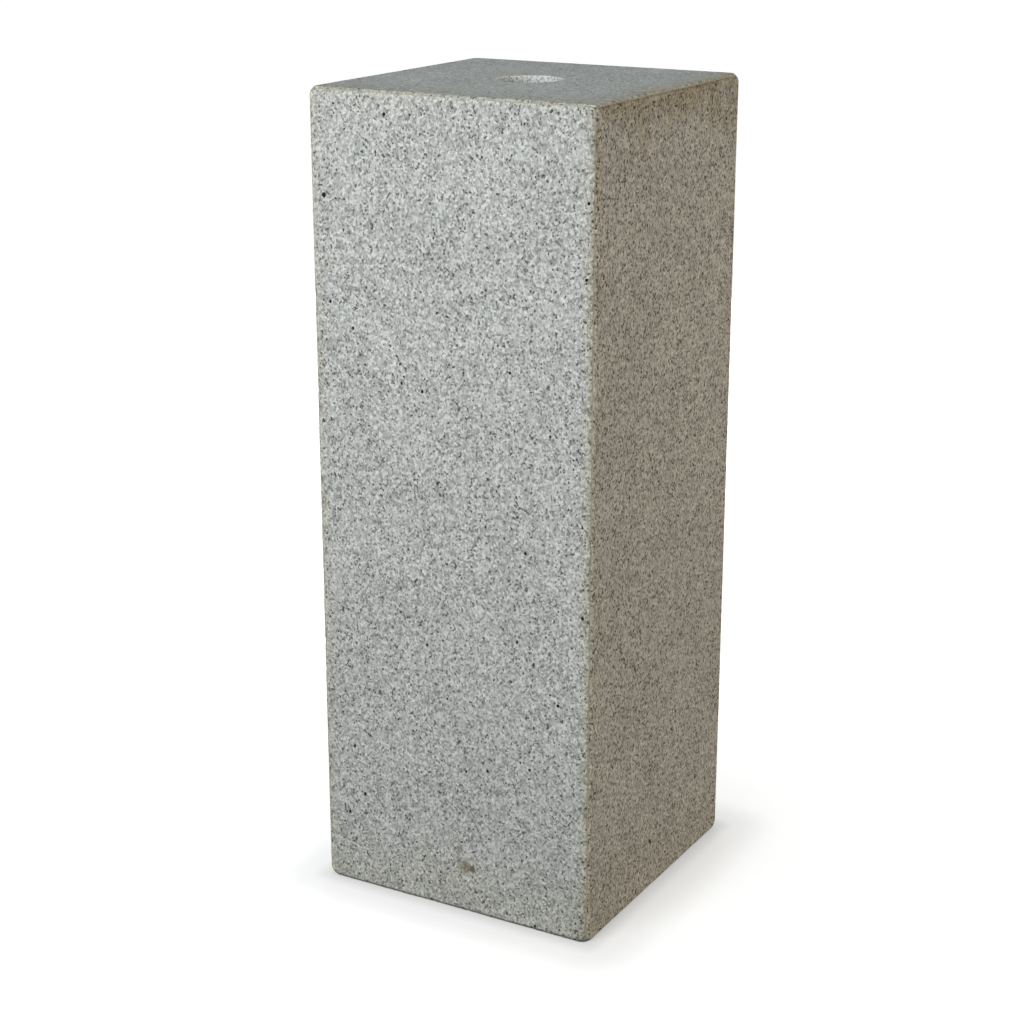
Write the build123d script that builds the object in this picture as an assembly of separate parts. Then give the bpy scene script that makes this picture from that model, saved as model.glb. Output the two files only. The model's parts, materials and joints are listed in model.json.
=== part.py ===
"""Square granite plinth, open underneath, bonded from five mitred slabs.

Four side slabs and a top slab meet in 45 degree mitres filled with resin. Granite battens,
bedded in resin, brace the four upright corners and the joint under the top from inside. The
top has a core-drilled hole in its centre. Origin: centre of the footprint, on the floor. +Z
is up, and the front slab faces -Y.
"""

import os
from math import sqrt

from build123d import *

# Driving dimensions, in millimetres
WIDTH = 300.0  # outside, the same both ways
HEIGHT = 800.0
SLAB = 20.0  # thickness of every slab
ARRIS = 4.5  # leg of the flat arris along the upright and the top edges
BASE_ARRIS = 2.5  # leg of the arris round the foot
BORE_RADIUS = 31.0
MITRE_RESIN = 1.0  # thickness of the resin in a mitre
RESIN_RECESS = 0.4  # how far that resin stays below the arris
CORNER_BATTEN = 30.0  # side of its square section
TOP_BATTEN = 25.0  # side of its square section
BED = 1.5  # thickness of the resin round a batten
FOOT_GAP = 20.0  # from the floor to the foot of the corner battens
BATTEN_GAP = 8.0  # from each end of a top batten to the corner batten beside it

# Sizes that follow from them
HALF = WIDTH / 2
INNER = HALF - SLAB  # from the middle to the inside of a side slab
INNER_TOP = HEIGHT - SLAB
SHIFT = MITRE_RESIN / sqrt(2)  # half the resin's thickness, measured along X, Y or Z
BATTEN_FACE = INNER - BED  # from the middle to the bedded face of a batten
BATTEN_TOP = INNER_TOP - BED
TOP_BATTEN_LENGTH = 2 * (BATTEN_FACE - CORNER_BATTEN - BATTEN_GAP)
PAST = WIDTH + HEIGHT  # reaches past the plinth from anywhere in it

# How far each side or corner is turned about +Z from the front or the front right one
SIDES = {"front": 0, "right": 90, "back": 180, "left": 270}
CORNERS = {"front_right": 0, "back_right": 90, "back_left": 180, "front_left": 270}

STANDING = (Align.CENTER, Align.CENTER, Align.MIN)
UNDER_TOP = (Align.CENTER, Align.MIN, Align.MAX)
IN_CORNER = (Align.MAX, Align.MIN, Align.MIN)


def prism(plane, points):
    """Everything inside this outline, far past the plinth on both sides of the plane."""
    return extrude(plane * make_face(Polyline(*points, close=True)), PAST, both=True)


def block(arris, base_arris):
    """The outside of the plinth as one solid."""
    stone = Box(WIDTH, WIDTH, HEIGHT, align=STANDING)
    top_edges = stone.faces().sort_by(Axis.Z)[-1].edges()
    stone = chamfer(stone.edges().filter_by(Axis.Z) + top_edges, arris)
    return chamfer(stone.faces().sort_by(Axis.Z)[0].edges(), base_arris)


def cavity():
    return Box(2 * INNER, 2 * INNER, INNER_TOP, align=STANDING)


def front_wedge(shift):
    """Everything in front of both upright mitres of the front slab, moved forward by shift."""
    return prism(Plane.XY, [(0, -shift), (PAST, -shift - PAST), (-PAST, -shift - PAST)])


def above_mitre(shift):
    """Everything above the mitre between front and top slab, moved up by shift."""
    high, low = HEIGHT + PAST + shift, HEIGHT - PAST + shift
    return prism(Plane.YZ, [(-HALF - PAST, high), (-HALF + PAST, low), (-HALF + PAST, high)])


def side_slab():
    """The front slab."""
    slab = (block(ARRIS, BASE_ARRIS) - cavity()) & front_wedge(SHIFT)
    return slab - above_mitre(-SHIFT)


def top_slab():
    """The top slab, with its core-drilled hole."""
    slab = block(ARRIS, BASE_ARRIS) - cavity()
    for turn in SIDES.values():
        slab &= Rot(Z=turn) * above_mitre(SHIFT)
    return slab - Pos(Z=INNER_TOP) * Cylinder(BORE_RADIUS, SLAB, align=STANDING)


def resin_limit():
    """Where the mitre resin may be: within the slabs' thickness, and below the arrises."""
    deeper = RESIN_RECESS * sqrt(2)
    return block(ARRIS + deeper, BASE_ARRIS + deeper) - cavity()


def top_resin():
    """Resin between front and top slab."""
    band = above_mitre(-SHIFT) - above_mitre(SHIFT)
    return resin_limit() & front_wedge(0) & band


def corner_resin():
    """Resin in the upright mitre between front and right slab."""
    sheet = Rot(Z=-45) * Box(PAST, MITRE_RESIN, HEIGHT, align=(Align.MIN, Align.CENTER, Align.MIN))
    sheet = sheet & resin_limit()
    for turn in (SIDES["front"], SIDES["right"]):
        sheet -= Rot(Z=turn) * (front_wedge(0) & above_mitre(-SHIFT))
    return sheet


def corner_batten():
    """The batten in the corner between front and right slab, and its bed."""
    height = BATTEN_TOP - FOOT_GAP
    batten = Box(CORNER_BATTEN, CORNER_BATTEN, height, align=IN_CORNER)
    with_bed = Box(CORNER_BATTEN + BED, CORNER_BATTEN + BED, height + BED, align=IN_CORNER)
    batten = Pos(BATTEN_FACE, -BATTEN_FACE, FOOT_GAP) * batten
    return batten, Pos(INNER, -INNER, FOOT_GAP) * with_bed - batten


def top_batten():
    """The batten between front and top slab, and its bed."""
    batten = Box(TOP_BATTEN_LENGTH, TOP_BATTEN, TOP_BATTEN, align=UNDER_TOP)
    with_bed = Box(TOP_BATTEN_LENGTH, TOP_BATTEN + BED, TOP_BATTEN + BED, align=UNDER_TOP)
    batten = Pos(Y=-BATTEN_FACE, Z=BATTEN_TOP) * batten
    return batten, Pos(Y=-INNER, Z=INNER_TOP) * with_bed - batten


def plinth():
    """Every piece, by node name."""
    pieces = {"top_slab": top_slab()}
    batten, bed = top_batten()
    front = {"slab": side_slab(), "top_resin": top_resin(), "top_batten": batten, "top_bed": bed}
    for side, turn in SIDES.items():
        for name, piece in front.items():
            node = f"{side}_slab" if name == "slab" else f"{name}_{side}"
            pieces[node] = Rot(Z=turn) * piece
    batten, bed = corner_batten()
    corner = {"corner_resin": corner_resin(), "corner_batten": batten, "corner_bed": bed}
    for place, turn in CORNERS.items():
        for name, piece in corner.items():
            pieces[f"{name}_{place}"] = Rot(Z=turn) * piece
    return pieces


os.makedirs("parts", exist_ok=True)
for node, piece in plinth().items():
    piece.label = node
    export_step(piece, f"parts/{node}.step")
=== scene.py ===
"""Looks of the granite plinth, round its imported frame: worn mitred slabs, resin in the
mitres, sawn battens and their resin beds. Everything is in metres, in the frame's axes."""

import json
import math
from itertools import product

import bmesh
import bpy
import numpy as np
from mathutils import Euler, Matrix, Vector
from mathutils.geometry import delaunay_2d_cdt


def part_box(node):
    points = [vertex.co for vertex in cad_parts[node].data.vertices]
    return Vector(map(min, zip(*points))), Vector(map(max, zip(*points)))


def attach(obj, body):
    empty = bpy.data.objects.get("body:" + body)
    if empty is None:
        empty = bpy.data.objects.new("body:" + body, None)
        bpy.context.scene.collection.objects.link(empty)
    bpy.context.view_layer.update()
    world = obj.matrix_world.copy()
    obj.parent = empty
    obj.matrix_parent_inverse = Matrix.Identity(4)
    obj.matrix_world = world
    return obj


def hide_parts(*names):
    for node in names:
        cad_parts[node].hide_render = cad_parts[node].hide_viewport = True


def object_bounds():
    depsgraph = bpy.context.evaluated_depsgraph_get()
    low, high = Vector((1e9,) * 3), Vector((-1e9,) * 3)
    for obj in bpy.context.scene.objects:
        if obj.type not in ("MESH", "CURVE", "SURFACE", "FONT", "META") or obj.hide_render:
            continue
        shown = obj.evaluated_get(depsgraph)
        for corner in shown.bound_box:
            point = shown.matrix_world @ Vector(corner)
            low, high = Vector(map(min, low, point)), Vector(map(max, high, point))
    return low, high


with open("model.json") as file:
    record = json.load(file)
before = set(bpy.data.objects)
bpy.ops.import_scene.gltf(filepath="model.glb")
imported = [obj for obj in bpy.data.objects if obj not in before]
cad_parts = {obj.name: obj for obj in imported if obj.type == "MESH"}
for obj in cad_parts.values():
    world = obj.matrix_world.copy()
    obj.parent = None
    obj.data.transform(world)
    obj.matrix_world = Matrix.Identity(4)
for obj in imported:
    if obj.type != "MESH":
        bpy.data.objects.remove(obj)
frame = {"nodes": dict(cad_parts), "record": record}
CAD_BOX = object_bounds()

MM = 0.001

# Sizes of the frame
HALF = CAD_BOX[1].x
HEIGHT = CAD_BOX[1].z
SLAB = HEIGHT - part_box("top_slab")[0].z
BORE = next(m for m in frame["record"]["mounts"] if m["name"] == "top_bore")["dims"]["r_mm"] * MM
ARRIS = 4.5 * MM
BASE_ARRIS = 2.5 * MM
SHIFT = 1.0 * MM / math.sqrt(2)  # half the mitre resin's thickness, measured along an axis

# Wear of the stone
SOFTEN = 1.5 * MM  # how far the worn edges of an arris are rounded
CORNER_SOFTEN = 5.0 * MM
CORNER_CUT = 9.2 * MM  # the three distances from a worn corner's faces add up to this
FOOT_CUT = 9.5 * MM  # the same at the foot
BORE_ARRIS = 0.7 * MM
WEAR = ((80 * MM, 0.30 * MM), (11 * MM, 0.22 * MM), (2.4 * MM, 0.26 * MM))  # lump, height
RIPPLE = ((140 * MM, 0.06 * MM), (30 * MM, 0.03 * MM))
WEAR_SEED, RIPPLE_SEED = 1, 9
EDGE_CHIPS = 70
CHIP_SEED = 11
CHIP_RADIUS = (2.5, 8)  # of the sphere that bites, in millimetres
CHIP_LEAST, CHIP_SPREAD = 0.2 * MM, 1.6 * MM  # their depth: at least, and the random part
CHIP_SHARES = {"upright": 0.45, "top": 0.30, "foot": 0.25}
CHIP_MARGIN = 10 * MM  # from the ends of an upright edge
CHIP_REACH = 0.96 * HALF  # from the middle of a level edge

# Meshing: distance in from the edge of a face, and spacing of the points there
EDGE = (ARRIS + SHIFT) / 2  # from the plinth's sharp outline to the mitre
INSETS = [i * MM for i in (0, 0.65, 1.3, 1.9, 2.6, 3.6, 5.2, 7.5, 11, 16, 23, 32, 45)]
HOLE_INSETS = INSETS[:10]
FINE_STEP = 1.3 * MM
COARSE_STEP = 13 * MM
DENSE_STEP = 1 * MM
WIDENING = 0.4  # spacing along a ring, as a share of its inset, once that is past the fine step
CDT_TOLERANCE = 1e-5
WARP_REACH = 10 * MM  # points further in than this don't move with the mitre
SPREAD = 40 * MM  # from the hole to where the top slab's inside is as far inset as its outside
WALL_RINGS = 14
MITRE_PASSES = 4
SETTLE_PASSES = 4
SHARP = math.radians(50)

# Core drill marks in the hole
DRILL_CLEARANCE = 0.1 * MM
GROOVE = 0.07 * MM
GROOVE_RATE = 2.1 / MM  # radians of wave for each metre of depth
GROOVE_WANDER = 1.5

SIDES = {"front": 0, "right": 90, "back": 180, "left": 270}
CORNERS = {"front_right": 0, "back_right": 90, "back_left": 180, "front_left": 270}

# Marks on the stone, on the plinth's faces
PITS = [  # centre, radius of the hollow's sphere, depth
    (Vector((0.0085, -HALF, 0.0520)), 7 * MM, 0.9 * MM),
    (Vector((0.0150, -HALF, 0.0475)), 6 * MM, 1.1 * MM),
    (Vector((0.0225, -HALF, 0.0460)), 5 * MM, 0.6 * MM),
]
RUST = Vector((0.0135, -HALF, 0.0500))
RUST_REACH = 22 * MM  # the mesh is finer this far round it
RUST_TONE, RUST_DARK = (0.20, 0.155, 0.085), (0.055, 0.042, 0.026)
INCLUSION = Vector((-0.134, -HALF, 0.701))
WOBBLE = 0.6  # how far a mark's outline wanders, as a share of its radius

# Resin in the mitres: how far it lies under the arris, and how that varies
RESIN_STEP = 2 * MM
RESIN_RECESS, RESIN_VARIATION, RESIN_LUMP = 0.16 * MM, 0.12 * MM, 9 * MM
RESIN_SAG = 0.12 * MM  # how much further its middle lies
CORNER_RESIN_SEED, TOP_RESIN_SEED = 31, 47

# Battens: their knocked edges and their saw marks
STRIP_STEP = 5 * MM
KNOCK, KNOCK_VARIATION, KNOCK_LUMP, KNOCK_SEED = 0.9 * MM, 0.5 * MM, 6 * MM, 60
SAW, SAW_LUMP, SAW_SEED = 0.1 * MM, 2.5 * MM, 61

# Beads of squeezed-out resin: their usual size, and how it varies (lump, height)
BEAD_STEP = 4 * MM
BEAD_POINTS = 6  # round its hollow face
BEAD_SIZE = 2.6 * MM
BEAD_VARIATION = ((14 * MM, 1.2 * MM), (4 * MM, 0.5 * MM))
BEAD_SEED = 70

# Grain of the stone: sizes, and tones as linear colour
FABRIC = (1, 1, 0.80)  # grains are a little longer upwards
BEND, BEND_LUMP = 1.1 * MM, 2.4 * MM  # how far the grains' outlines wander, and in what lumps
GRAIN = 1.85 * MM
MINERALS = (
    (0.00, (0.250, 0.257, 0.249)),
    (0.30, (0.380, 0.388, 0.378)),
    (0.60, (0.463, 0.472, 0.460)),
    (1.00, (0.615, 0.626, 0.610)),
)
FINE_GRAIN, FINE_TONES = 0.62 * GRAIN, ((0, 0.88), (1, 1.12))
MICA = 1.6 * MM
MICA_TONE = (0.056, 0.052, 0.044)
FLECKS = ((0, 1.0), (0.03, 0.9), (0.09, 0.55), (0.19, 0.22), (0.30, 0.0), (1, 0.0))
CLUMP, CLUMPING = 9 * MM, 0.20  # mica comes in clumps of this size, and how strongly
FEWER, RIGHT_FEWER = 0.115, 0.07  # more of this, fewer flecks
RARE_SPACING = 15 * MM  # between the few large black grains
RARE_SIZE, RARE_LEFT_OUT = 0.26, 0.14  # as shares of it: random part of a radius, less this
BLACK = (0.012, 0.012, 0.012)
CLOUD, CLOUD_TONES = 70 * MM, ((0.3, 0.95), (0.7, 1.05))
GRIT = 0.9 * MM  # lumps of its rough surface
SIDE_FINISH, TOP_FINISH, SAWN_FINISH = (0.62, 0.10 * MM), (0.45, 0.03 * MM), (0.7, 0.15 * MM)

# Dirt and wear, with painted shade and painted light: tones that multiply the stone's colour. Each
# pair of places says where a mark starts and where it is full. A rag is the size of the lumps in
# its outline, and their height.
HAZE = (0.93, 0.88, 0.70)  # on the worn edges
HAZE_FULL, HAZE_FADE = 3 * MM, 12 * MM  # its full width from an edge, and how far it fades on
CLEAN_HAZE = 0.35  # strength on the level edges of front, back and top, compared with the others
HAZE_STRENGTH = 0.80
HAZE_LUMP, HAZE_PATCHES = 25 * MM, ((0.3, 0.35), (0.65, 1.0))

FOOT_TINGE = (0.99, 0.975, 0.92)
TINGE_LEVELS, TINGE_RAG = (0.16, 0.06), (40 * MM, 0.12)
# painted shade: the lowest few millimetres of each side slab are darkened, standing in for the
# shaded base arris and the contact shade
FOOT_PAINTED_SHADE = (0.55, 0.53, 0.48)
FOOT_SHADE_LEVELS = (4.5 * MM, 2.0 * MM)

STAIN = (0.755, 0.695, 0.575)  # under the top edge of the right slab
STAIN_LEVELS, STAIN_RAG = (0.025, 0.085), (55 * MM, 0.16)
LINE = (0.56, 0.50, 0.41)  # grime on the arrises of the right slab
LINE_MIDDLE = ARRIS - 0.4 * MM  # from the edge, with the rag added
LINE_WIDTHS, LINE_RAG = (2.6 * MM, 0.8 * MM), (7 * MM, 3 * MM)
LINE_STRENGTHS = ((HEIGHT - 0.30, 0.1), (HEIGHT - 0.05, 0.65))  # level, strength

TOP_STAIN = (0.90, 0.86, 0.79)  # towards the front and the right of the top
TOP_STAIN_REACH, TOP_STAIN_RAG = (0.14, 0.22), (70 * MM, 0.12)
CORE_DUST_AND_PAINTED_LIGHT = (0.93, 0.93, 0.92)  # pale dust and painted light; this one covers the stone, on the wall of the hole
DUST_AND_LIGHT_LUMP, DUST_AND_LIGHT_PATCHES = 2.0 * MM, ((0.38, 0.15), (0.47, 1.0))
DUST_AND_LIGHT_SIDE, DUST_AND_LIGHT_LEAST = (0.028, -0.002), 0.35  # X of the least and of the full paling, and the least; the paling is stronger on the left as painted light
WALL_MARGIN = 0.6 * MM

# Resin: in the mitres, and in the beds and beads
RESIN_TONE, RESIN_SHADE = (0.43, 0.405, 0.335), (0.34, 0.318, 0.255)
GLUE_TONE, GLUE_SHADE = (0.42, 0.34, 0.22), (0.30, 0.24, 0.15)
DUST = (0.55, 0.53, 0.48)
RESIN_CLOUD, RESIN_CLOUD_TONES = 6 * MM, ((0.3, 0.0), (0.7, 1.0))
RESIN_GRIT, RESIN_GRIT_TONES, RESIN_RELIEF = 0.8 * MM, ((0.45, 0.0), (0.7, 0.5)), 0.15 * MM
RESIN_ROUGHNESS = ((0, 0.45), (1, 0.7))

# Studio
FLOOR_MIDDLE = 0.6  # radius of the first ring of the floor
COVE_RADIUS, COVE_BEND, COVE_TOP = 5.0, 2.0, 9.0
COVE_SIDES, COVE_STEPS = 96, 12
PAPER_TONES, PAPER_LUMP = ((0, 0.40), (1, 0.42)), 0.9
PAPER_GLOW_AND_PAINTED_SHADOW = (  # metres from the foot, strength; the weaker glow near the foot is a painted shadow
    (0, 0.40), (0.02, 0.54), (0.07, 0.69), (0.25, 0.81), (1.0, 0.95),
)
AIR_COLOUR, AIR_STRENGTH = (1.0, 1.0, 1.0), 0.12
GLARE_ELEVATION = 45  # lower lights would glare along the top, so they don't show in reflections
LIGHTS = (  # name, azimuth, elevation, distance, size, power, colour, aim
    ("key", -9, 7, 1.78, (1.1, 0.9), 31.5, (0.985, 1.0, 0.995), (0, 0, 0.75)),
    ("fill", 100, 4, 2.4, (1.6, 1.6), 36, (1.0, 0.838, 0.648), (0, 0, 0.38)),
    ("back", 205, 10, 2.7, (1.8, 1.8), 34, (0.97, 1.0, 1.0), (0, 0, 0.45)),
    ("left", -96, 8, 2.7, (1.6, 1.6), 26, (0.98, 1.0, 1.0), (0, 0, 0.45)),
    ("overhead", 0, 88, 2.2, (1.5, 1.5), 27, (0.91, 1.0, 1.0), (0, 0, 0.8)),
)

# Camera: where it stands, which way it looks, in degrees, and its lens, in millimetres
CAMERA_PLACE = Vector((0.991, -1.767, 1.021))
CAMERA_AZIMUTH, CAMERA_ELEVATION = 29.75, 17.75
CAMERA_LENS = 74.7


# ---------------------------------------------------------------- noise and wear

HASH_AXES = np.array([73856093, 19349663, 83492791])
HASH_SEED, HASH_MIX = 2654435761, 1274126177


def lattice(points, cell, seed):
    """Smooth noise from -1 to 1 at these points, in lumps of about this size."""
    scaled = points / cell
    whole = np.floor(scaled).astype(np.int64)
    part = scaled - whole
    part = part * part * (3 - 2 * part)
    total = np.zeros(len(points))
    for corner in product((0, 1), repeat=3):
        key = (whole + corner) @ HASH_AXES + seed * HASH_SEED
        key = (key ^ (key >> 13)) * HASH_MIX
        value = ((key ^ (key >> 16)) & 0xFFFF) / 32767.5 - 1
        weight = np.prod(np.where(corner, part, 1 - part), axis=1)
        total += weight * value
    return total


def layered(points, layers, seed):
    """Noise of several sizes, each a (lump, height) pair."""
    return sum(height * lattice(points, lump, seed + i) for i, (lump, height) in enumerate(layers))


def smooth_max(a, b, width):
    """The larger of the two, with the crease between them rounded."""
    blend = np.clip(width - np.abs(a - b), 0, None)
    return np.maximum(a, b) + blend * blend / (4 * width)


def chip_list():
    """Spheres that bite into the stone: (centre, radius), along the edges and at the pits."""
    rng = np.random.default_rng(CHIP_SEED)
    chips = []
    for _ in range(EDGE_CHIPS):
        radius = rng.uniform(*CHIP_RADIUS) * MM
        depth = CHIP_LEAST + CHIP_SPREAD * rng.uniform(0.25, 1.0) ** 2
        kind = rng.choice(list(CHIP_SHARES), p=list(CHIP_SHARES.values()))
        turn = math.radians(90 * rng.integers(4))
        if kind == "upright":
            spot = Vector((HALF, -HALF, rng.uniform(CHIP_MARGIN, HEIGHT - CHIP_MARGIN)))
            outward = Vector((1, -1, 0)).normalized()
            spot -= outward * ARRIS / math.sqrt(2)
        else:
            level, leg = (HEIGHT, ARRIS) if kind == "top" else (0, BASE_ARRIS)
            spot = Vector((rng.uniform(-CHIP_REACH, CHIP_REACH), -HALF, level))
            outward = Vector((0, -1, 1 if kind == "top" else -1)).normalized()
            spot -= outward * leg / math.sqrt(2)
        centre = spot + outward * (radius - depth)
        centre.rotate(Euler((0, 0, turn)))
        chips.append((centre, radius))
    for spot, radius, depth in PITS:
        chips.append((spot + Vector((0, -1, 0)) * (radius - depth), radius))
    return chips


CHIPS = chip_list()


class Face:
    """An outer face of the plinth: where its (across, along, depth) are, and how it is worn."""

    def __init__(self, turn=None):
        self.upright = turn is not None
        angle = math.radians(turn or 0)
        self.cos, self.sin = round(math.cos(angle)), round(math.sin(angle))
        self.chips = [self.local(centre) + (radius,) for centre, radius in CHIPS]

    def place(self, across, along, depth):
        """Points of the frame, one row each."""
        if not self.upright:
            return np.stack([across, along, HEIGHT - depth], axis=1)
        x, y = across, depth - HALF
        return np.stack([self.cos * x - self.sin * y, self.sin * x + self.cos * y, along], axis=1)

    def local(self, point):
        """The (across, along, depth) of one point of the frame."""
        x, y, z = point
        if not self.upright:
            return x, y, HEIGHT - z
        return self.cos * x + self.sin * y, z, self.cos * y - self.sin * x + HALF

    def far(self, along):
        """Distance from the edge that lies along the face's top, or from the nearer one."""
        return HEIGHT - along if self.upright else HALF - np.abs(along)

    def depth(self, across, along):
        """How far the worn stone lies behind the flat face."""
        points = self.place(across, along, np.zeros_like(across))
        side, far = HALF - np.abs(across), self.far(along)
        worn = layered(points, WEAR, WEAR_SEED)
        edges = [ARRIS - side, ARRIS - far]
        corners = [CORNER_CUT - side - far]
        if self.upright:
            edges.append(BASE_ARRIS - along)
            corners.append(FOOT_CUT - side - along)
        else:
            edges.append(BORE_ARRIS + BORE - np.hypot(across, along))
        depth = layered(points, RIPPLE, RIPPLE_SEED) + sum(height for _, height in RIPPLE)
        for edge in edges:
            depth = smooth_max(depth, edge + worn, SOFTEN)
        for corner in corners:
            depth = smooth_max(depth, corner + worn, CORNER_SOFTEN)
        for u, v, w, radius in self.chips:
            room = np.sqrt(np.clip(radius**2 - (across - u) ** 2 - (along - v) ** 2, 0, None))
            bitten = (room > 0) & (w - room < depth)
            depth = np.where(bitten, np.maximum(depth, w + room), depth)
        return depth

    def settle(self, depth_at, count):
        """Distances from the sharp outline at which the worn stone meets the mitre."""
        edge = np.full(count, EDGE)
        for _ in range(SETTLE_PASSES):  # each step goes half way, so that it settles
            edge = edge - (edge - SHIFT - depth_at(edge)) / 2
        return edge

    def side_mitre(self, sign, along):
        return self.settle(lambda edge: self.depth(sign * (HALF - edge), along), len(along))

    def far_mitre(self, across, sign):
        """The same for the top edge, or in the top for the edges that face front and back."""
        if self.upright:
            return self.settle(lambda edge: self.depth(across, HEIGHT - edge), len(across))
        return self.settle(lambda edge: self.depth(across, sign * (HALF - edge)), len(across))

    def mitred(self, across, along):
        """The same points, with those near a mitre moved so that the outermost lie on it."""
        side, far = HALF - np.abs(across), self.far(along)
        sign, far_sign = np.sign(across), np.sign(along)
        near_side, near_far = side < WARP_REACH, far < WARP_REACH
        u, v = across.copy(), along.copy()
        for _ in range(MITRE_PASSES):
            edge = self.side_mitre(sign[near_side], v[near_side])
            share = (side[near_side] - EDGE) / (WARP_REACH - EDGE)
            u[near_side] = sign[near_side] * (HALF - edge - share * (WARP_REACH - edge))
            edge = self.far_mitre(u[near_far], far_sign[near_far])
            share = (far[near_far] - EDGE) / (WARP_REACH - EDGE)
            moved = edge + share * (WARP_REACH - edge)
            v[near_far] = HEIGHT - moved if self.upright else far_sign[near_far] * (HALF - moved)
        return u, v


# ---------------------------------------------------------------- meshes

def ring(low, high, inset, step):
    """Points round a rectangle, inset from its edges, in order and anticlockwise."""
    (x0, y0), (x1, y1) = np.array(low) + inset, np.array(high) - inset
    corners = np.array([(x0, y0), (x1, y0), (x1, y1), (x0, y1)])
    runs = []
    for start, end in zip(corners, np.roll(corners, -1, axis=0)):
        count = max(2, round(np.linalg.norm(end - start) / step))
        runs.append(start + (end - start) * np.arange(count)[:, None] / count)
    return np.concatenate(runs)


def circle(centre, radius, step):
    """Points round a circle, in order and anticlockwise."""
    count = round(2 * math.pi * radius / step)
    angles = np.arange(count) * 2 * math.pi / count
    return np.array(centre) + radius * np.stack([np.cos(angles), np.sin(angles)], axis=1)


def graded_points(low, high, dense, hole):
    """Points over a rectangle, closer together near its edges, its hole and its dense spots.
    Returns them with the outline first, then the hole's rim, and how many each has."""
    outline = ring(low, high, 0, FINE_STEP)
    rim = circle((0, 0), hole, FINE_STEP) if hole else np.empty((0, 2))
    rings = [ring(low, high, i, max(FINE_STEP, WIDENING * i)) for i in INSETS[1:]]
    if hole:
        for inset in HOLE_INSETS[1:]:
            rings.append(circle((0, 0), hole + inset, max(FINE_STEP, WIDENING * inset)))
    inner = [np.array(low) + INSETS[-1] + COARSE_STEP / 2, np.array(high) - INSETS[-1]]
    grid = np.stack(np.meshgrid(*(np.arange(a, b, COARSE_STEP) for a, b in zip(*inner))), -1)
    grid = grid.reshape(-1, 2)
    if hole:
        away = np.hypot(*grid.T) > hole + HOLE_INSETS[-1] + COARSE_STEP / 2
        grid = grid[away]
    spots = []
    for centre, radius in dense:
        grid = grid[np.hypot(*(grid - centre).T) > radius]
        rings = [r[np.hypot(*(r - centre).T) > radius] for r in rings]
        steps = np.arange(-radius, radius, DENSE_STEP)
        patch = np.stack(np.meshgrid(steps, steps), -1).reshape(-1, 2)
        spots.append(patch[np.hypot(*patch.T) < radius] + centre)
    points = np.concatenate([outline, rim, *rings, grid, *spots])
    return points, len(outline), len(rim)


def triangles(points, hole):
    """Triangles over these points, all anticlockwise, with none inside the hole."""
    order = [Vector(p) / MM for p in points]
    _, _, faces, originals, _, _ = delaunay_2d_cdt(order, [], [], 0, CDT_TOLERANCE)
    faces = np.array([[originals[i][0] for i in f] for f in faces])
    if hole:
        middle = points[faces].mean(axis=1)
        faces = faces[np.hypot(*middle.T) > hole]
    a, b, c = (points[faces[:, i]] for i in range(3))
    flip = np.cross(b - a, c - a) < 0
    faces[flip] = faces[flip][:, ::-1]
    return faces


def mesh_object(name, points, faces):
    """A smooth mesh object with its faces turned outward."""
    mesh = bpy.data.meshes.new(name)
    mesh.from_pydata([tuple(p) for p in points], [], [tuple(map(int, f)) for f in faces])
    mesh.validate()
    bm = bmesh.new()
    bm.from_mesh(mesh)
    bmesh.ops.recalc_face_normals(bm, faces=bm.faces)
    bm.to_mesh(mesh)
    bm.free()
    mesh.shade_smooth()
    thing = bpy.data.objects.new(name, mesh)
    bpy.context.scene.collection.objects.link(thing)
    return thing


def band(first, second, count):
    """Quads between two loops of the same length, given where their points start."""
    here = np.arange(count)
    after = (here + 1) % count
    return np.stack([first + here, first + after, second + after, second + here], axis=1)


def sawn_side(face, flat):
    """Points on the sawn side of a slab, behind these points of its outer side."""
    half = HALF - SLAB - SHIFT
    across = flat[:, 0] * half / (HALF - EDGE)
    if face.upright:
        along = flat[:, 1] * (HEIGHT - SLAB - SHIFT) / (HEIGHT - EDGE)
    else:
        along = flat[:, 1] * half / (HALF - EDGE)
        share = np.clip((np.hypot(*flat.T) - BORE) / SPREAD, 0, 1)
        across = flat[:, 0] * (1 - share) + across * share
        along = flat[:, 1] * (1 - share) + along * share
    return face.place(across, along, np.full(len(flat), SLAB))


def drilled_wall(face, rim, rim_depth):
    """Loops of points down the wall of the hole, faintly grooved, from its rim on."""
    turns = np.arctan2(rim[:, 1], rim[:, 0])
    for step in range(1, WALL_RINGS):
        share = step / WALL_RINGS
        level = rim_depth * (1 - share) + SLAB * share
        groove = GROOVE * np.sin(level * GROOVE_RATE + np.sin(turns) * GROOVE_WANDER)
        radius = BORE + DRILL_CLEARANCE + groove
        yield face.place(radius * np.cos(turns), radius * np.sin(turns), level)


def mark_edges(thing, across, far):
    """Store on the first points how near the worn edges they are, for the haze."""
    gaps = np.stack([HALF - np.abs(across), far])
    beside, beyond = np.clip(1 - (gaps - HAZE_FULL) / HAZE_FADE, 0, 1)
    mark = np.zeros(len(thing.data.vertices), np.float32)
    mark[:len(across)] = np.maximum(beside, CLEAN_HAZE * beyond)
    thing.data.attributes.new("arris", "FLOAT", "POINT").data.foreach_set("value", mark)


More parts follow.
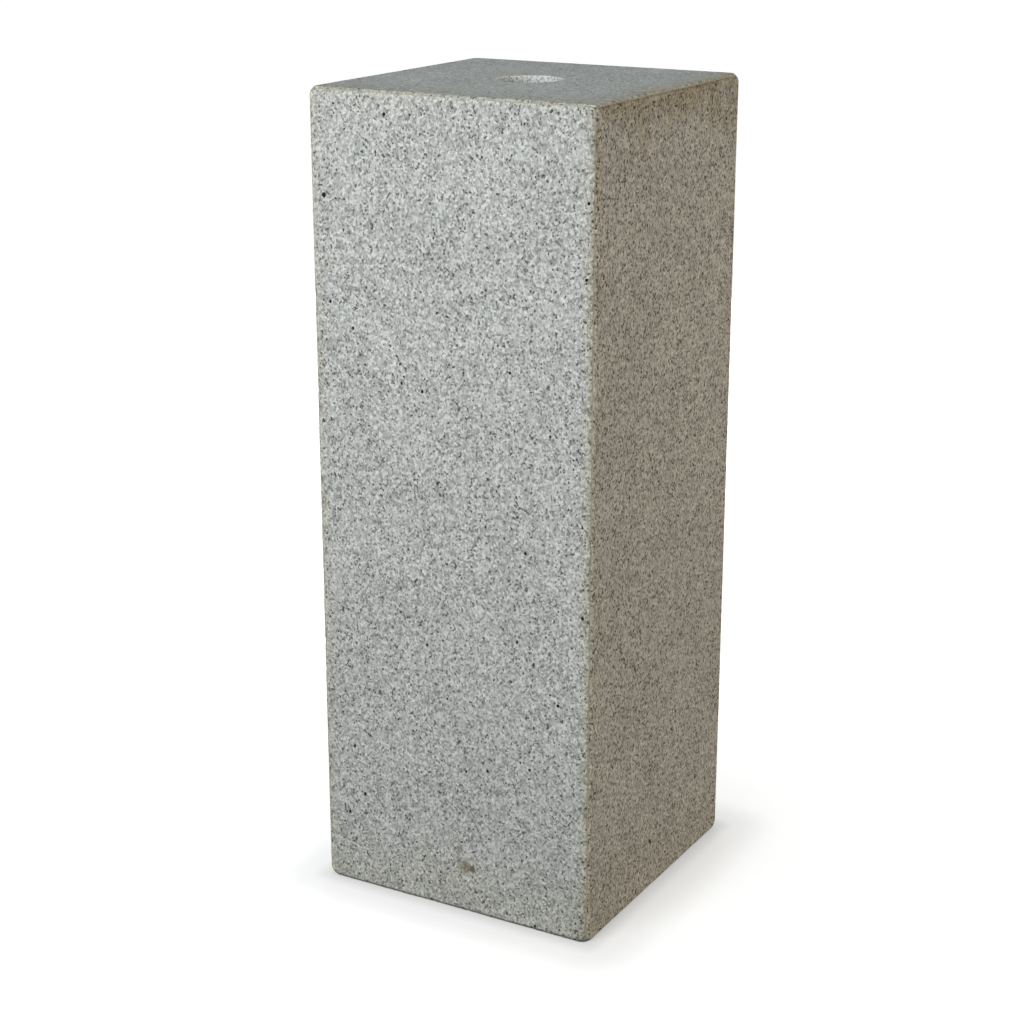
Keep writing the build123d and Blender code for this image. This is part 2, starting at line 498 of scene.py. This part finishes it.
def slab(name, face, dense=()):
    """A worn slab: its outer skin, its mitres, its sawn inside and, in the top, its hole."""
    far = HEIGHT - EDGE if face.upright else HALF - EDGE
    low = (-HALF + EDGE, 0) if face.upright else (-HALF + EDGE, -HALF + EDGE)
    hole = 0 if face.upright else BORE
    flat, outline, rim = graded_points(low, (HALF - EDGE, far), dense, hole)
    skin = triangles(flat, hole)
    across, along = face.mitred(*flat.T)
    depth = face.depth(across, along)

    count = len(flat)
    points = [face.place(across, along, depth), sawn_side(face, flat)]
    faces = [*skin, *(skin[:, ::-1] + count), *band(0, count, outline)]
    if hole:
        on_rim = slice(outline, outline + rim)
        previous, start = outline, 2 * count
        for loop in drilled_wall(face, flat[on_rim], depth[on_rim]):
            points.append(loop)
            faces.extend(band(previous, start, rim))
            previous, start = start, start + rim
        faces.extend(band(previous, count + outline, rim))
    thing = mesh_object(name, np.concatenate(points), faces)
    mark_edges(thing, across, face.far(along))
    thing.data.set_sharp_from_angle(angle=SHARP)
    return thing


def loft(name, sections):
    """A closed mesh through these sections, each a loop of the same number of points."""
    sections = np.array(sections)
    count, size = sections.shape[:2]
    faces = []
    for i in range(count - 1):
        faces += [list(f) for f in band(i * size, (i + 1) * size, size)]
    faces += [list(range(size))[::-1], list(range((count - 1) * size, count * size))]
    thing = mesh_object(name, sections.reshape(-1, 3), faces)
    thing.data.set_sharp_from_angle(angle=SHARP)
    return thing


def turned(points, turn):
    """Points turned about +Z, by a whole number of quarter turns."""
    cos, sin = round(math.cos(math.radians(turn))), round(math.sin(math.radians(turn)))
    x, y, z = np.moveaxis(np.array(points, float), -1, 0)
    return np.stack([cos * x - sin * y, sin * x + cos * y, z], axis=-1)


def meniscus(points, seed):
    """How far the resin lies under the arris, here and in its middle."""
    recess = RESIN_RECESS + RESIN_VARIATION * lattice(points, RESIN_LUMP, seed)
    return recess, recess + RESIN_SAG


def corner_resin(name, turn):
    """Resin in an upright mitre, from the floor to the resin under the top."""
    face = Face(turn)
    levels = np.linspace(0, HEIGHT - EDGE, round(HEIGHT / RESIN_STEP))
    edge = face.side_mitre(np.ones_like(levels), levels)
    spots = turned(np.stack([HALF - edge, edge - HALF, levels], axis=1), turn)
    rim, middle = meniscus(spots, CORNER_RESIN_SEED)
    inner = SLAB + 0 * edge
    outline = [  # distances from the right and the front face
        (edge + rim, edge + rim - SHIFT),
        (edge + middle - SHIFT / 2, edge + middle - SHIFT / 2),
        (edge + rim - SHIFT, edge + rim),
        (inner, inner + SHIFT),
        (inner, inner),
        (inner + SHIFT, inner),
    ]
    share = levels / levels[-1]
    sections = [
        np.stack([HALF - a, b - HALF, share * (HEIGHT - np.maximum(a, b) + SHIFT / 2)], axis=1)
        for a, b in outline
    ]
    return loft(name, turned(np.moveaxis(np.array(sections), 0, 1), turn))


def top_resin(name, turn):
    """Resin between a side slab and the top slab, mitred at both ends."""
    face = Face(turn)
    share = np.linspace(-1, 1, round(2 * HALF / RESIN_STEP))
    across = share * (HALF - EDGE)
    edge = face.far_mitre(across, None)
    spots = face.place(across, HEIGHT - edge, edge)
    rim, middle = meniscus(spots, TOP_RESIN_SEED)
    inner = SLAB + 0 * edge
    outline = [  # distances from the side face and from the top
        (edge + rim - SHIFT, edge + rim),
        (edge + middle - SHIFT / 2, edge + middle - SHIFT / 2),
        (edge + rim, edge + rim - SHIFT),
        (inner + SHIFT, inner),
        (inner, inner),
        (inner, inner + SHIFT),
    ]
    sections = [face.place(share * (HALF - b), HEIGHT - d, b) for b, d in outline]
    return loft(name, np.moveaxis(np.array(sections), 0, 1))


def sawn_strip(name, node):
    """A sawn batten in the box of its CAD node, with knocked edges and faint saw marks."""
    low, high = (np.array(corner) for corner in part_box(node))
    size = high - low
    axis = int(size.argmax())
    others = [i for i in range(3) if i != axis]
    count = round(size[axis] / STRIP_STEP)
    sections = []
    for place in np.linspace(0, 1, count):
        loop = []
        for corner, (along_u, along_v) in enumerate(((0, 0), (1, 0), (1, 1), (0, 1))):
            spot = np.zeros(3)
            spot[axis] = low[axis] + place * size[axis]
            spot[others[0]] = (low, high)[along_u][others[0]]
            spot[others[1]] = (low, high)[along_v][others[1]]
            knock = KNOCK + KNOCK_VARIATION * lattice(spot[None], KNOCK_LUMP, KNOCK_SEED)[0]
            saw = SAW * (1 + lattice(spot[None], SAW_LUMP, SAW_SEED)[0])
            for turn in (0, 1):
                point = spot.copy()
                move = others[(corner + turn + 1) % 2]
                still = others[(corner + turn) % 2]
                point[move] += knock if point[move] == low[move] else -knock
                point[still] += saw if point[still] == low[still] else -saw
                loop.append(point)
        sections.append(loop)
    return loft(name, sections)


def bead(corner, first, second, run, length, seed):
    """Sections of a fillet of squeezed-out resin in a corner, along run from corner."""
    places = np.arange(0, length, BEAD_STEP)
    spots = np.array(corner) + np.outer(places, run)
    sizes = BEAD_SIZE + layered(spots, BEAD_VARIATION, seed)
    first, second = np.array(first), np.array(second)
    sections = []
    for spot, size in zip(spots, sizes):
        loop = [spot]
        for angle in np.linspace(0, math.pi / 2, BEAD_POINTS):
            u, v = 1 - math.sin(angle), 1 - math.cos(angle)
            loop.append(spot + size * (u * first + v * second))
        sections.append(loop)
    return sections


# ---------------------------------------------------------------- materials

def add(tree, kind, inputs=(), **settings):
    """A shader node, with its inputs given as values or as sockets to link from."""
    node = tree.nodes.new("ShaderNode" + kind)
    for key, value in settings.items():
        setattr(node, key, value)
    for key, value in dict(inputs).items():
        if isinstance(value, bpy.types.NodeSocket):
            tree.links.new(value, node.inputs[key])
        else:
            node.inputs[key].default_value = value
    return node


def ramp(tree, factor, stops, interpolation="LINEAR"):
    """A colour ramp through (place, grey or colour) stops."""
    node = add(tree, "ValToRGB", {"Fac": factor})
    node.color_ramp.interpolation = interpolation
    elements = node.color_ramp.elements
    while len(elements) < len(stops):
        elements.new(0.5)
    for element, (place, tone) in zip(elements, stops):
        element.position = place
        colour = (tone,) * 3 if isinstance(tone, (int, float)) else tone
        element.color = (*colour, 1)
    return node.outputs["Color"]


def math_node(tree, operation, *values):
    return add(tree, "Math", dict(enumerate(values)), operation=operation).outputs[0]


def mix(tree, factor, a, b, blend_type="MIX"):
    """Two colours mixed."""
    node = add(tree, "Mix", data_type="RGBA", blend_type=blend_type)
    for key, value in ((0, factor), (6, a), (7, b)):
        if isinstance(value, bpy.types.NodeSocket):
            tree.links.new(value, node.inputs[key])
        else:
            node.inputs[key].default_value = value if key == 0 else (*value, 1)
    return node.outputs[2]


def noise(tree, place, lump, detail=2.0, roughness=0.5):
    """Noise with lumps of about this size, from 0 to 1."""
    inputs = {"Vector": place, "Scale": 1 / lump, "Detail": detail, "Roughness": roughness}
    return add(tree, "TexNoise", inputs)


def cells(tree, place, size):
    """Grains of about this size: their random tone, from 0 to 1."""
    grain = add(tree, "TexVoronoi", {"Vector": place, "Scale": 1 / size}, feature="F1")
    return add(tree, "SeparateColor", {"Color": grain.outputs["Color"]}).outputs["Red"]


def fade(tree, value, start, end, least=0.0):
    """The least at start and before it, 1 at end and past it, and smooth between."""
    inputs = {"Value": value, "From Min": start, "From Max": end, "To Min": least}
    return add(tree, "MapRange", inputs, interpolation_type="SMOOTHSTEP").outputs["Result"]


def ragged(tree, value, local, rag, detail=4.0, roughness=0.5):
    """A distance with an uneven part added: rag is the lumps' size and the most that is added."""
    lump, most = rag
    lumps = noise(tree, local, lump, detail, roughness).outputs["Fac"]
    return math_node(tree, "MULTIPLY_ADD", lumps, most, value)


def near_spot(tree, place, spot, radius, rag, edge):
    """1 within a ragged patch round a spot of the stone, 0 outside."""
    gap = add(tree, "VectorMath", {0: place, 1: tuple(spot)}, operation="DISTANCE").outputs["Value"]
    lumps = noise(tree, place, rag).outputs["Fac"]
    wobble = math_node(tree, "MULTIPLY_ADD", lumps, -2 * WOBBLE * radius, WOBBLE * radius)
    return fade(tree, math_node(tree, "ADD", gap, wobble), radius, radius - edge)


def new_material(name):
    material = bpy.data.materials.new(name)
    material.use_nodes = True
    tree = material.node_tree
    tree.nodes.clear()
    shader = add(tree, "BsdfPrincipled")
    add(tree, "OutputMaterial", {"Surface": shader.outputs["BSDF"]})
    place = add(tree, "TexCoord").outputs["Object"]
    return material, tree, shader, place


def grains(tree, local, bent, fewer):
    """The colour of clean stone: pale feldspar, grey quartz, mica, and a few black grains."""
    ground = ramp(tree, cells(tree, bent, GRAIN), MINERALS)
    fine = ramp(tree, cells(tree, bent, FINE_GRAIN), FINE_TONES)
    stone = mix(tree, 1.0, ground, fine, "MULTIPLY")
    clumps = noise(tree, local, CLUMP, 1.0).outputs["Fac"]
    flecks = math_node(tree, "MULTIPLY_ADD", clumps, -CLUMPING, cells(tree, bent, MICA))
    dark = ramp(tree, math_node(tree, "ADD", flecks, fewer), FLECKS)
    stone = mix(tree, dark, stone, MICA_TONE)
    rare = add(tree, "TexVoronoi", {"Vector": bent, "Scale": 1 / RARE_SPACING}, feature="F1")
    size = add(tree, "SeparateColor", {"Color": rare.outputs["Color"]}).outputs["Green"]
    size = math_node(tree, "MULTIPLY_ADD", size, RARE_SIZE, -RARE_LEFT_OUT)
    inside = math_node(tree, "GREATER_THAN", size, rare.outputs["Distance"])
    stone = mix(tree, inside, stone, BLACK)
    cloud = ramp(tree, noise(tree, local, CLOUD, 3.0).outputs["Fac"], CLOUD_TONES)
    return mix(tree, 1.0, stone, cloud, "MULTIPLY")


def hazed(tree, stone, local):
    """The stone with the olive haze of its worn edges."""
    worn = add(tree, "Attribute", attribute_name="arris", attribute_type="GEOMETRY").outputs["Fac"]
    patchy = ramp(tree, noise(tree, local, HAZE_LUMP, 3.0).outputs["Fac"], HAZE_PATCHES)
    amount = math_node(tree, "MULTIPLY", math_node(tree, "MULTIPLY", worn, patchy), HAZE_STRENGTH)
    return mix(tree, amount, stone, HAZE, "MULTIPLY")


def tinged_and_shaded_foot(tree, stone, local, height):
    """The stone with a faint tinge over its lowest part and painted shade at the very foot."""
    amount = fade(tree, ragged(tree, height, local, TINGE_RAG), *TINGE_LEVELS)
    stone = mix(tree, amount, stone, FOOT_TINGE, "MULTIPLY")
    # painted shade: darkest in the lowest few millimetres
    return mix(tree, fade(tree, height, *FOOT_SHADE_LEVELS), stone, FOOT_PAINTED_SHADE, "MULTIPLY")


def stained_slab(tree, stone, place, local, height):
    """The right slab's stone, with the brown stain under the top and grime on the arrises."""
    over = math_node(tree, "SUBTRACT", height, HEIGHT)
    amount = fade(tree, ragged(tree, over, local, STAIN_RAG, 5.0, 0.6), *STAIN_LEVELS)
    stone = mix(tree, amount, stone, STAIN, "MULTIPLY")
    beside = math_node(tree, "ADD", add(tree, "SeparateXYZ", {"Vector": place}).outputs["Y"], HALF)
    under = math_node(tree, "SUBTRACT", HEIGHT, height)
    away = ragged(tree, math_node(tree, "MINIMUM", beside, under), local, LINE_RAG, 3.0)
    off_middle = math_node(tree, "ABSOLUTE", math_node(tree, "SUBTRACT", away, LINE_MIDDLE))
    line = fade(tree, off_middle, *LINE_WIDTHS)
    amount = math_node(tree, "MULTIPLY", line, ramp(tree, height, LINE_STRENGTHS))
    return mix(tree, amount, stone, LINE, "MULTIPLY")


def bored_top(tree, stone, place, local):
    """The top's stone, stained towards the front and right, with pale dust and painted light on the
    wall of its hole, more on the left.
    """
    axes = add(tree, "SeparateXYZ", {"Vector": place}).outputs
    ahead = math_node(tree, "MAXIMUM", math_node(tree, "MULTIPLY", axes["Y"], -1.0), axes["X"])
    amount = fade(tree, ragged(tree, ahead, local, TOP_STAIN_RAG), *TOP_STAIN_REACH)
    stone = mix(tree, amount, stone, TOP_STAIN, "MULTIPLY")
    level = add(tree, "VectorMath", {0: place, 1: (1, 1, 0)}, operation="MULTIPLY").outputs[0]
    away = add(tree, "VectorMath", {0: level}, operation="LENGTH").outputs["Value"]
    # pale dust and painted light: the hole's wall is paled, most on its left side
    wall = math_node(tree, "LESS_THAN", away, BORE + WALL_MARGIN)
    wall = math_node(tree, "MULTIPLY", wall, fade(tree, axes["X"], *DUST_AND_LIGHT_SIDE, DUST_AND_LIGHT_LEAST))
    dust_and_light = ramp(tree, noise(tree, place, DUST_AND_LIGHT_LUMP, 3.0).outputs["Fac"], DUST_AND_LIGHT_PATCHES)
    return mix(tree, math_node(tree, "MULTIPLY", wall, dust_and_light), stone, CORE_DUST_AND_PAINTED_LIGHT)


def granite(name, offset, finish, marks=(), stained=False, bored=False, fewer=FEWER):
    """Fine grey granite, cut from its own block. A finish is a roughness and a relief."""
    material, tree, shader, place = new_material(name)
    local = add(tree, "VectorMath", {0: place, 1: FABRIC, 2: offset}, operation="MULTIPLY_ADD")
    local = local.outputs[0]
    drift = noise(tree, local, BEND_LUMP, 1.0).outputs["Color"]
    bent = add(tree, "VectorMath", {0: drift, 1: (BEND,) * 3, 2: local}, operation="MULTIPLY_ADD")
    bent = bent.outputs[0]

    stone = hazed(tree, grains(tree, local, bent, fewer), local)
    height = add(tree, "SeparateXYZ", {"Vector": place}).outputs["Z"]
    if bored:
        stone = bored_top(tree, stone, place, local)
    else:
        stone = tinged_and_shaded_foot(tree, stone, local, height)
    if stained:
        stone = stained_slab(tree, stone, place, local, height)
    for spot, radius, rag, edge, tone, strength in marks:
        patch = near_spot(tree, place, spot, radius, rag, edge)
        stone = mix(tree, math_node(tree, "MULTIPLY", patch, strength), stone, tone)
    tree.links.new(stone, shader.inputs["Base Color"])

    roughness, relief = finish
    grit = noise(tree, local, GRIT, 2.0, 0.6).outputs["Fac"]
    bump = add(tree, "Bump", {"Height": grit, "Strength": 1.0, "Distance": relief})
    tree.links.new(bump.outputs["Normal"], shader.inputs["Normal"])
    rough = ramp(tree, cells(tree, bent, GRAIN), ((0, roughness - 0.1), (1, roughness + 0.08)))
    tree.links.new(rough, shader.inputs["Roughness"])
    return material


def resin(name, tone, shade):
    """Cured polyester resin, filled with stone dust."""
    material, tree, shader, place = new_material(name)
    cloud = noise(tree, place, RESIN_CLOUD, 4.0, 0.6).outputs["Fac"]
    grit = noise(tree, place, RESIN_GRIT, 2.0).outputs["Fac"]
    body = mix(tree, ramp(tree, cloud, RESIN_CLOUD_TONES), tone, shade)
    body = mix(tree, ramp(tree, grit, RESIN_GRIT_TONES), body, DUST)
    tree.links.new(body, shader.inputs["Base Color"])
    tree.links.new(ramp(tree, cloud, RESIN_ROUGHNESS), shader.inputs["Roughness"])
    bump = add(tree, "Bump", {"Height": grit, "Strength": 0.6, "Distance": RESIN_RELIEF})
    tree.links.new(bump.outputs["Normal"], shader.inputs["Normal"])
    return material


def backdrop_material():
    """Matt white studio paper that glows so that it stays near white, with a painted shadow round
    the foot, where it glows less.
    """
    material, tree, shader, place = new_material("studio_paper")
    tone = ramp(tree, noise(tree, place, PAPER_LUMP, 2.0).outputs["Fac"], PAPER_TONES)
    spot = add(tree, "VectorMath", {0: place}, operation="ABSOLUTE").outputs[0]
    spot = add(tree, "VectorMath", {0: spot, 1: (HALF, HALF, 0)}, operation="SUBTRACT").outputs[0]
    spot = add(tree, "VectorMath", {0: spot, 1: (0, 0, 0)}, operation="MAXIMUM").outputs[0]
    away = add(tree, "VectorMath", {0: spot}, operation="LENGTH").outputs["Value"]
    # painted shadow: the glow falls off towards the plinth's foot
    tree.links.new(ramp(tree, away, PAPER_GLOW_AND_PAINTED_SHADOW, "EASE"), shader.inputs["Emission Color"])
    shader.inputs["Emission Strength"].default_value = 1.0
    tree.links.new(tone, shader.inputs["Base Color"])
    shader.inputs["Roughness"].default_value = 0.9
    return material


# ---------------------------------------------------------------- stage, lights and camera

def backdrop():
    """A round floor that curves up into a wall, whichever way the camera looks."""
    profile = [(0.0, 0.0), (FLOOR_MIDDLE, 0.0), (COVE_RADIUS, 0.0)]
    for angle in np.linspace(0, math.pi / 2, COVE_STEPS + 1)[1:]:
        out, up = COVE_BEND * math.sin(angle), COVE_BEND * (1 - math.cos(angle))
        profile.append((COVE_RADIUS + out, up))
    profile.append((COVE_RADIUS + COVE_BEND, COVE_TOP))
    bm = bmesh.new()
    loops = []
    for radius, height in profile:
        count = 1 if radius == 0 else COVE_SIDES
        loops.append([
            bm.verts.new((radius * math.cos(a), radius * math.sin(a), height))
            for a in (2 * math.pi * i / count for i in range(count))
        ])
    for i in range(COVE_SIDES):
        j = (i + 1) % COVE_SIDES
        bm.faces.new((loops[0][0], loops[1][i], loops[1][j]))
        for inner, outer in zip(loops[1:], loops[2:]):
            bm.faces.new((inner[i], outer[i], outer[j], inner[j]))
    mesh = bpy.data.meshes.new("studio_cove")
    bm.to_mesh(mesh)
    bm.free()
    mesh.shade_smooth()
    cove = bpy.data.objects.new("studio_cove", mesh)
    bpy.context.scene.collection.objects.link(cove)
    cove.data.materials.append(backdrop_material())
    cove.visible_diffuse = False
    cove.visible_glossy = False


def soft_light(name, azimuth, elevation, distance, size, power, colour, aim):
    """A square soft box, aimed at a point. Azimuth 0 is in front of the front slab."""
    light = bpy.data.lights.new(name, "AREA")
    light.shape = "RECTANGLE"
    light.size, light.size_y = size
    light.energy = power
    light.color = colour
    lamp = bpy.data.objects.new(name, light)
    a, e = math.radians(azimuth), math.radians(elevation)
    back = Vector((math.sin(a) * math.cos(e), -math.cos(a) * math.cos(e), math.sin(e)))
    lamp.location = Vector(aim) + back * distance
    lamp.rotation_euler = back.to_track_quat("Z", "Y").to_euler()
    lamp.visible_camera = False
    lamp.visible_glossy = elevation > GLARE_ELEVATION
    bpy.context.scene.collection.objects.link(lamp)


def studio():
    backdrop()
    for settings in LIGHTS:
        soft_light(*settings)
    world = bpy.data.worlds.new("studio_air")
    world.use_nodes = True
    world.node_tree.nodes["Background"].inputs["Color"].default_value = (*AIR_COLOUR, 1)
    world.node_tree.nodes["Background"].inputs["Strength"].default_value = AIR_STRENGTH
    bpy.context.scene.world = world
    bpy.context.scene.view_settings.view_transform = "Standard"


def camera():
    data = bpy.data.cameras.new("camera")
    data.lens = CAMERA_LENS
    thing = bpy.data.objects.new("camera", data)
    a, e = math.radians(CAMERA_AZIMUTH), math.radians(CAMERA_ELEVATION)
    back = Vector((math.sin(a) * math.cos(e), -math.cos(a) * math.cos(e), math.sin(e)))
    thing.location = CAMERA_PLACE
    thing.rotation_euler = back.to_track_quat("Z", "Y").to_euler()
    bpy.context.scene.collection.objects.link(thing)
    bpy.context.scene.camera = thing


# ---------------------------------------------------------------- the plinth

def dress(thing, slot, material, *nodes):
    """A piece that stands for these nodes, with its material."""
    thing.data.materials.append(material)
    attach(thing, "root")
    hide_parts(*nodes)


def slabs():
    """The five slabs. Only the front has marks, and only the right is stained."""
    marks = [  # spot, radius, lumps of the outline, width of the soft edge, tone, strength
        (RUST, 11 * MM, 6 * MM, 9 * MM, RUST_TONE, 0.7),
        (RUST + Vector((0.009, 0, -0.002)), 5 * MM, 4 * MM, 3 * MM, RUST_DARK, 0.7),
        (RUST + Vector((-0.007, 0, 0.004)), 3 * MM, 3 * MM, 2 * MM, RUST_DARK, 0.5),
        (INCLUSION, 2.7 * MM, 2.2 * MM, 0.5 * MM, BLACK, 1.0),
    ]
    special = {
        "front": {"marks": marks},
        "right": {"stained": True, "fewer": RIGHT_FEWER},
    }
    for index, (side, turn) in enumerate(SIDES.items()):
        dense = [(np.array((RUST.x, RUST.z)), RUST_REACH)] if side == "front" else []
        offset = (0.31 * index + 0.13, 0.57 * index, 0.23 * index)  # another part of the block
        stone = granite(f"granite_{side}", offset, SIDE_FINISH, **special.get(side, {}))
        dress(slab(f"{side}_slab_stone", Face(turn), dense), "granite", stone, f"{side}_slab")
    stone = granite("granite_top", (2.1, 1.3, 0.7), TOP_FINISH, bored=True)
    dress(slab("top_slab_stone", Face()), "honed_granite", stone, "top_slab")


def joints():
    bond = resin("mitre_resin", RESIN_TONE, RESIN_SHADE)
    for side, turn in SIDES.items():
        node = f"top_resin_{side}"
        dress(top_resin(node + "_line", turn), "mitre_resin", bond, node)
    for corner, turn in CORNERS.items():
        node = f"corner_resin_{corner}"
        dress(corner_resin(node + "_line", turn), "mitre_resin", bond, node)


def bracing():
    """The battens and their beds, with the resin that was squeezed out beside them."""
    sawn = granite("granite_sawn", (3.1, 0.4, 1.9), SAWN_FINISH)
    glue = resin("bed_resin", GLUE_TONE, GLUE_SHADE)
    inner, top = HALF - SLAB, HEIGHT - SLAB
    low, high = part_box("corner_batten_front_right")
    upright = [
        ((low.x, -inner, low.z), (-1, 0, 0), (0, 1, 0), (0, 0, 1), high.z - low.z),
        ((inner, high.y, low.z), (0, 1, 0), (-1, 0, 0), (0, 0, 1), high.z - low.z),
    ]
    for corner, turn in CORNERS.items():
        node = f"corner_batten_{corner}"
        dress(sawn_strip(node + "_stone", node), "sawn_granite", sawn, node)
        add_beads(f"corner_bead_{corner}", upright, turn, glue)
        frame["nodes"][f"corner_bed_{corner}"].data.materials.clear()
        frame["nodes"][f"corner_bed_{corner}"].data.materials.append(glue)
    low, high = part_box("top_batten_front")
    level = [
        ((low.x, -inner, low.z), (0, 1, 0), (0, 0, -1), (1, 0, 0), high.x - low.x),
        ((low.x, high.y, top), (0, 1, 0), (0, 0, -1), (1, 0, 0), high.x - low.x),
    ]
    for side, turn in SIDES.items():
        node = f"top_batten_{side}"
        dress(sawn_strip(node + "_stone", node), "sawn_granite", sawn, node)
        add_beads(f"top_bead_{side}", level, turn, glue)
        frame["nodes"][f"top_bed_{side}"].data.materials.clear()
        frame["nodes"][f"top_bed_{side}"].data.materials.append(glue)


def add_beads(name, runs, turn, glue):
    """The two beads beside a batten, as one piece."""
    parts = []
    for i, (corner, first, second, run, length) in enumerate(runs):
        sections = bead(corner, first, second, run, length, BEAD_SEED + turn + 7 * i)
        parts.append(loft(f"{name}_{i}", turned(sections, turn)))
    for part in parts[1:]:
        bm = bmesh.new()
        bm.from_mesh(parts[0].data)
        bm.from_mesh(part.data)
        bm.to_mesh(parts[0].data)
        bm.free()
        bpy.data.objects.remove(part)
    parts[0].name = name
    parts[0].data.materials.append(glue)
    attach(parts[0], "root")


camera()
studio()
slabs()
joints()
bracing()
